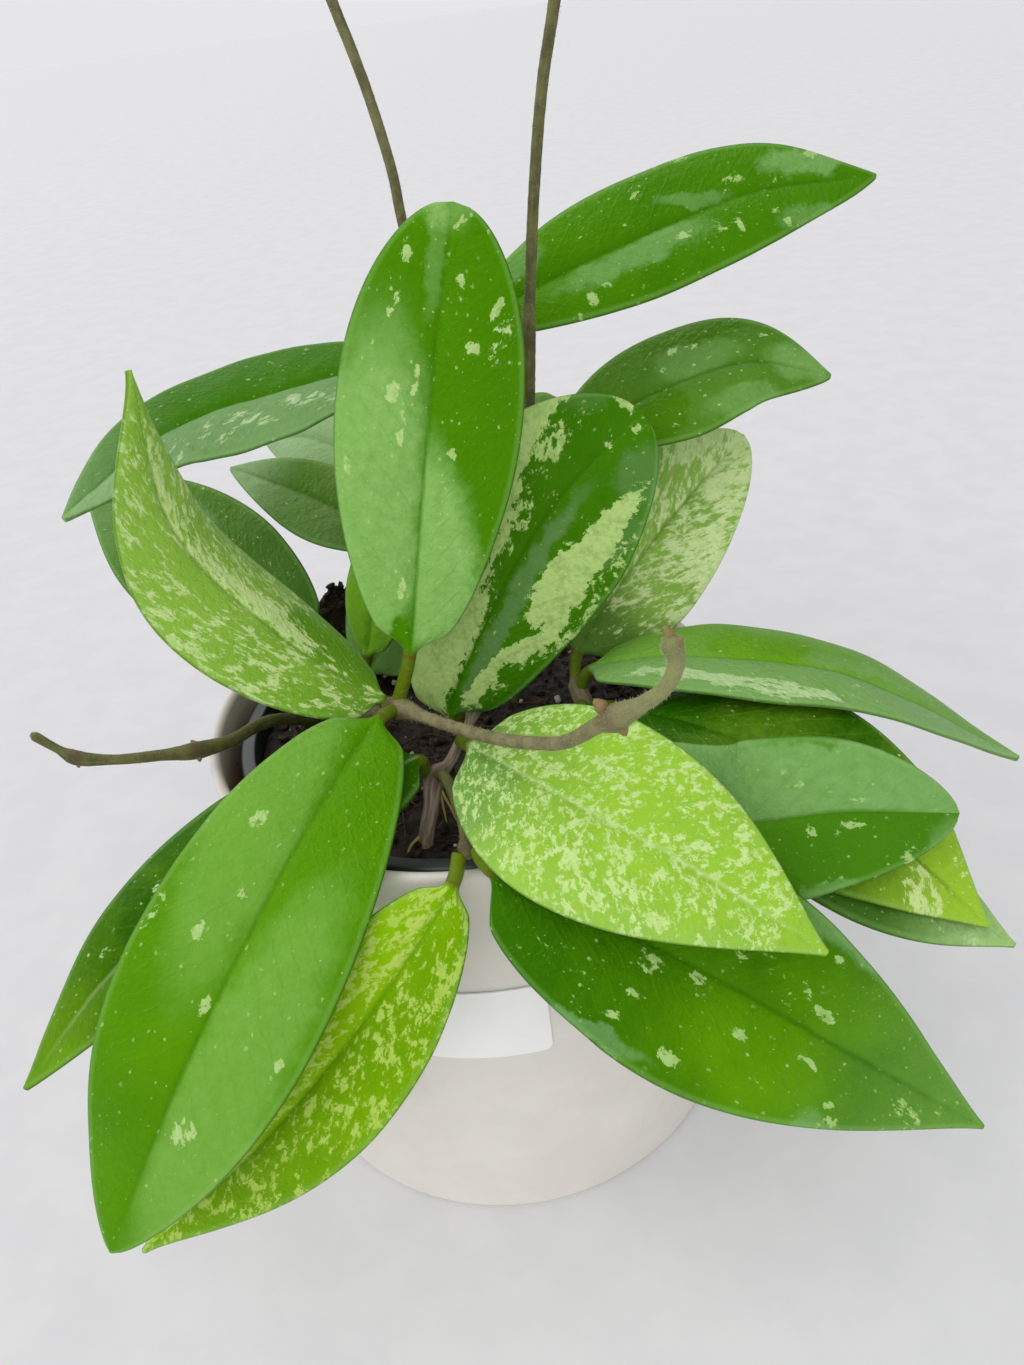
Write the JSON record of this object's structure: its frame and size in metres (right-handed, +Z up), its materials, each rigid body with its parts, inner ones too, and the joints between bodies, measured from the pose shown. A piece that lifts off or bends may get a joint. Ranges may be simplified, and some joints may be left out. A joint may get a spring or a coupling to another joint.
{
  "type": "potted splash hoya pubicalyx",
  "caption": "Climbing houseplant with thick pointed green leaves splashed with cream, in a dark nursery pot inside a plain white round cachepot.",
  "frame": {"origin": "middle of the cachepot's flat foot, on the surface that it stands on", "axes": "+Z up along the pot's axis, +X to the right and +Y away from someone in front of the plant, on the side of the label"},
  "size_m": [0.225, 0.1924, 0.3042],
  "materials": {
    "white_plastic": "satin",
    "dark_plastic": "satin",
    "label_paper": "matte",
    "potting_mix": "matte",
    "stem_bark": "matte",
    "leaf_upright_centre": "satin",
    "leaf_small_bright": "satin",
    "leaf_behind_centre": "satin",
    "leaf_cream_patched": "satin",
    "leaf_back_streaked": "satin",
    "leaf_upper_right": "satin",
    "leaf_top_right": "satin",
    "leaf_upper_left": "satin",
    "leaf_left_long": "satin",
    "leaf_left_broad": "satin",
    "leaf_back_left": "satin",
    "leaf_back_pale": "satin",
    "leaf_right_arched": "satin",
    "leaf_right_lime": "satin",
    "leaf_right_rounded": "satin",
    "leaf_right_lowest": "satin",
    "leaf_front_speckled": "satin",
    "leaf_front_right": "satin",
    "leaf_front_trailing": "satin",
    "leaf_front_left": "satin",
    "leaf_low_left": "satin"
  },
  "bodies": {
    "root": {"cachepot": "white_plastic", "nursery_pot": "dark_plastic", "blank_label": "label_paper", "potting_mix": "potting_mix", "stem_main": "stem_bark", "stem_left_shoot": "stem_bark", "stem_tall_left": "stem_bark", "stem_tall_right": "stem_bark", "stem_long_shoot": "stem_bark", "stem_right": "stem_bark", "stem_back_left": "stem_bark", "leaf_upright_centre": "leaf_upright_centre", "leaf_small_bright": "leaf_small_bright", "leaf_behind_centre": "leaf_behind_centre", "leaf_cream_patched": "leaf_cream_patched", "leaf_back_streaked": "leaf_back_streaked", "leaf_upper_right": "leaf_upper_right", "leaf_top_right": "leaf_top_right", "leaf_upper_left": "leaf_upper_left", "leaf_left_long": "leaf_left_long", "leaf_left_broad": "leaf_left_broad", "leaf_back_left": "leaf_back_left", "leaf_back_pale": "leaf_back_pale", "leaf_right_arched": "leaf_right_arched", "leaf_right_lime": "leaf_right_lime", "leaf_right_rounded": "leaf_right_rounded", "leaf_right_lowest": "leaf_right_lowest", "leaf_front_speckled": "leaf_front_speckled", "leaf_front_right": "leaf_front_right", "leaf_front_trailing": "leaf_front_trailing", "leaf_front_left": "leaf_front_left", "leaf_low_left": "leaf_low_left"}
  },
  "joints": []
}
